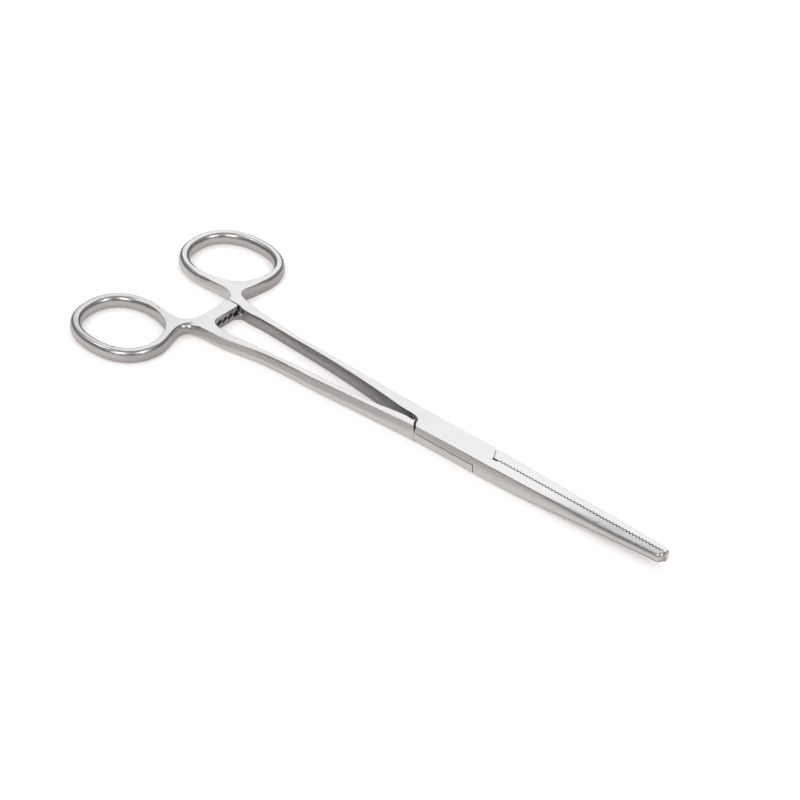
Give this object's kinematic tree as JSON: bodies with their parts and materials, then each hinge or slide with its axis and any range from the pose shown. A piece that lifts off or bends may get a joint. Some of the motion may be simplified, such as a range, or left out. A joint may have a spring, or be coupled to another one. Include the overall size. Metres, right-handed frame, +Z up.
{
  "type": "hemostat forceps",
  "caption": "Long straight ring-handled steel forceps with a riveted box joint, serrated half-round jaws and a toothed ratchet lock.",
  "frame": {"origin": "middle of the closed instrument's outline, on the surface it lies on", "axes": "+X along the instrument towards the tips of the jaws, +Z up from the surface it lies on, parallel to the pin"},
  "size_m": [0.2, 0.0724, 0.0057],
  "materials": {
    "arm_steel": "satin ground stainless steel",
    "pin_steel": "rivet ground flush, satin"
  },
  "bodies": {
    "box_side": {"box_arm": "arm_steel", "lock_pin": "pin_steel"},
    "tongue_side": {"tongue_arm": "arm_steel"}
  },
  "joints": [
    {"name": "box_pivot", "type": "hinge", "parent": "box_side", "child": "tongue_side", "pos_m": [0.02753, 0, 0.00285], "axis": [0, 0, 1], "range_deg": [0, 60]}
  ]
}
